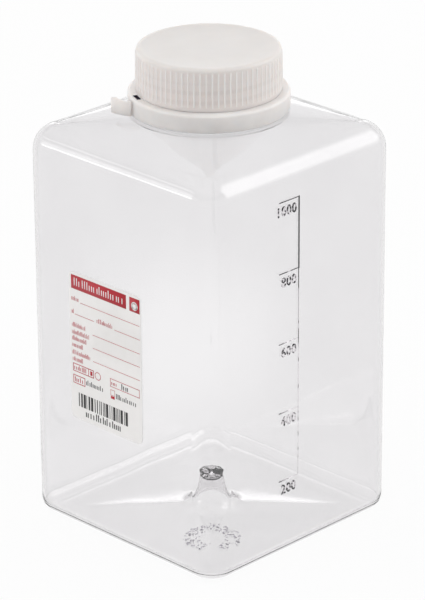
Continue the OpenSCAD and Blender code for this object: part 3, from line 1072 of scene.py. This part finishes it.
def milky_plastic(name, light, cloudy, skirt_shade=None):
    """Translucent natural plastic with a satin skin; where a skirt shade is given, the skirt gets painted
    shade, darker thread bands and ribs with a painted highlight.
    """
    looks = {"Roughness": 0.42, "IOR": 1.5, "Subsurface Weight": 0.6,
             "Subsurface Radius": (1.0, 0.85, 0.75), "Subsurface Scale": 3 * MM}
    material, tree, shader = new_material(name, looks)
    flow = marks(tree, 120, 2500, 0.35)
    colour = ramped(tree, flow["Variation"], ((0.25, [c * cloudy for c in light]), (0.75, light)))
    if skirt_shade:
        # Painted shade on the skirt and its thread bands, and a painted highlight on the ribs.
        between_bands = (*[c * 1.05 for c in skirt_shade], 1)
        banded = blended(tree, thread_shade(tree), between_bands, (*skirt_shade, 1))
        skirt, rib = skirt_masks(tree)
        ribbed = blended(tree, rib, banded, (0.83, 0.80, 0.78, 1))
        colour = blended(tree, skirt, colour, ribbed)
    tree.links.new(colour, shader.inputs["Base Color"])
    add_bump(tree, flow["Height"], shader, 0.08 * MM, 0.6)
    return material


def printed_surface(name, low, high, roughness, grain, glow_through=0.0):
    """Paper, ink, foam or the slot's painted shade: two close shades, a fine grain and an even roughness."""
    looks = {"Roughness": roughness, "Subsurface Weight": glow_through,
             "Subsurface Radius": (1, 1, 1), "Subsurface Scale": 0.5 * MM}
    material, tree, shader = new_material(name, looks)
    height = marks(tree, 350, 5200, grain)["Height"]
    tree.links.new(ramped(tree, height, ((0.3, low), (0.7, high))), shader.inputs["Base Color"])
    add_bump(tree, height, shader, 0.02 * MM, 0.5)
    return material


def crystal_clear():
    """Clear crystals, some of them dim."""
    looks = {"Transmission Weight": 1, "IOR": 1.5, "Roughness": 0.03}
    material, tree, shader = new_material("crystal", looks)
    shades = ((0.3, (0.22, 0.18, 0.28)), (0.7, (0.99, 0.985, 1.0)))
    tree.links.new(ramped(tree, marks(tree, 1100, 2500, 0.3)["Variation"], shades), shader.inputs["Base Color"])
    let_light_through(tree, shader, (0.92, 0.92, 0.94))
    return material


# ---------------- stage, world and lamps
def white_for_view(tree):
    """1 for rays that see the backdrop directly, in gloss or through clear plastic, otherwise 0."""
    rays = tree.nodes.new("ShaderNodeLightPath").outputs
    direct = calculate(tree, "MAXIMUM", rays["Is Camera Ray"], rays["Is Glossy Ray"])
    return calculate(tree, "MAXIMUM", direct, rays["Is Transmission Ray"])


def floor():
    """White studio floor that keeps a faint shadow."""
    built = bmesh.new()
    bmesh.ops.create_grid(built, x_segments=1, y_segments=1, size=4)
    ground = mesh_object("floor", built)
    ground.location.z = -0.05 * MM
    looks = {"Base Color": (*grey(0.8), 1), "Roughness": 0.9}
    material, tree, shader = new_material("floor_white", looks)
    glow = add_node(tree, "ShaderNodeEmission", {"Strength": 1})
    share = calculate(tree, "MULTIPLY", white_for_view(tree), 0.94)
    surface_mix(tree, share, shader.outputs["BSDF"], glow.outputs["Emission"])
    ground.data.materials.append(material)


def studio_world():
    """Pale surroundings, brighter at the two sides than in front, with a dimmer band above the horizon."""
    world = bpy.data.worlds.new("studio")
    world.use_nodes = True
    scene.world = world
    tree = world.node_tree
    background = tree.nodes["Background"]
    background.inputs["Color"].default_value = (1, 1, 1, 1)
    heading = tree.nodes.new("ShaderNodeTexCoord").outputs["Generated"]
    bands = ((0.34, 1.0), (0.46, 0.7), (0.58, 0.7), (0.70, 0.97))
    seen = ramped(tree, axes(tree, heading)["Z"], [(z, grey(value)) for z, value in bands])
    sideways = measure(tree, "DOT_PRODUCT", heading, (0.7071, 0.7071, 0))
    squared = calculate(tree, "POWER", calculate(tree, "SUBTRACT", sideways, 0.1), 2)
    fill = calculate(tree, "MULTIPLY_ADD", squared, 0.75, 0.68)
    shares = {"Factor": white_for_view(tree), "A": fill, "B": seen}
    strength = add_node(tree, "ShaderNodeMix", shares, data_type="FLOAT").outputs["Result"]
    tree.links.new(strength, background.inputs["Strength"])


def soft_box(name, direction, distance, width, height, glow):
    """Rectangular lamp that faces the bottle from a direction and fades out towards its edges."""
    data = bpy.data.lights.new(name, "AREA")
    data.shape = "RECTANGLE"
    data.size = width
    data.size_y = height
    data.energy = glow * width * height * math.pi
    data.use_nodes = True
    tree = data.node_tree
    place = axes(tree, tree.nodes.new("ShaderNodeNewGeometry").outputs["Parametric"])
    fades = []
    for axis in ("X", "Y"):
        away = calculate(tree, "ABSOLUTE", calculate(tree, "SUBTRACT", place[axis], 0.5))
        fades.append(ranged(tree, away, 0.5, 0.12, smooth=True))
    tree.links.new(calculate(tree, "MULTIPLY", *fades), tree.nodes["Emission"].inputs["Strength"])
    lamp = bpy.data.objects.new(name, data)
    out = Vector(direction).normalized()
    facing = out.to_track_quat("Z", "Y").to_matrix().to_4x4()
    lamp.matrix_world = Matrix.Translation(Vector((0, 0, 90 * MM)) + out * distance) @ facing
    scene.collection.objects.link(lamp)


def lamps():
    """A large light at the right, and strips and a softer one at the left and behind."""
    soft_box("right_soft_box", (0.53, 0.65, 0.55), 1.1, 1.1, 1.05, 1.9)
    soft_box("left_upper_strip", (-0.65, -0.53, 0.55), 1.1, 0.7, 0.12, 0.9)
    soft_box("left_lower_strip", (-0.65, -0.72, 0.25), 1.1, 0.45, 0.12, 2.2)
    soft_box("left_soft_box", (-0.65, -0.70, 0.33), 1.15, 0.6, 0.4, 0.9)
    soft_box("rear_low_strip", (-0.70, 0.70, 0.18), 1.3, 0.9, 0.34, 1.4)


# ---------------- assembly
def dress_part():
    """Makes the materials and every piece of the part."""
    clear = clear_plastic()
    raised = scale_plastic("scale_plastic", LINE_PAINTED_SHADE, 500)
    lettered = scale_plastic("digit_plastic", DIGIT_PAINTED_SHADE, 900)
    # The cap's last colour is the painted shade of its skirt.
    cap_finish = milky_plastic("cap_milky", (0.77, 0.73, 0.706), 0.97, (0.76, 0.70, 0.675))
    ring_finish = milky_plastic("ring_milky", (0.89, 0.845, 0.82), 0.88)
    # Painted shade: near-black walls of the ring's slot, for the shadow inside it.
    slot_shade = printed_surface("slot_shade", (0.02, 0.012, 0.03), (0.05, 0.035, 0.06), 0.6, 0.5)
    paper = printed_surface("paper", (0.865, 0.84, 0.82), (0.92, 0.895, 0.88), 0.5, 0.6, 0.35)
    red = printed_surface("red_ink", (0.46, 0.011, 0.022), (0.54, 0.018, 0.035), 0.4, 0.7)
    black = printed_surface("black_ink", (0.012, 0.011, 0.012), (0.035, 0.033, 0.034), 0.45, 0.7)
    white = printed_surface("white_ink", (0.82, 0.80, 0.79), (0.88, 0.87, 0.86), 0.45, 0.7)
    foam = printed_surface("foam", (0.82, 0.82, 0.80), (0.88, 0.88, 0.86), 0.6, 0.5)
    crystal = crystal_clear()

    bottle(clear)
    volume_scale(raised)
    scale_digits(lettered)
    screw_cap(cap_finish)
    sealing_disc(foam)
    tamper_ring(ring_finish, slot_shade)
    pull_tab(ring_finish)
    label_paper(paper)
    label_print(red, black, white)
    dose(crystal)
    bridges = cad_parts["bridges"]
    bridges.data.materials.clear()
    bridges.data.materials.append(ring_finish)


camera()
dress_part()
floor()
studio_world()
lamps()
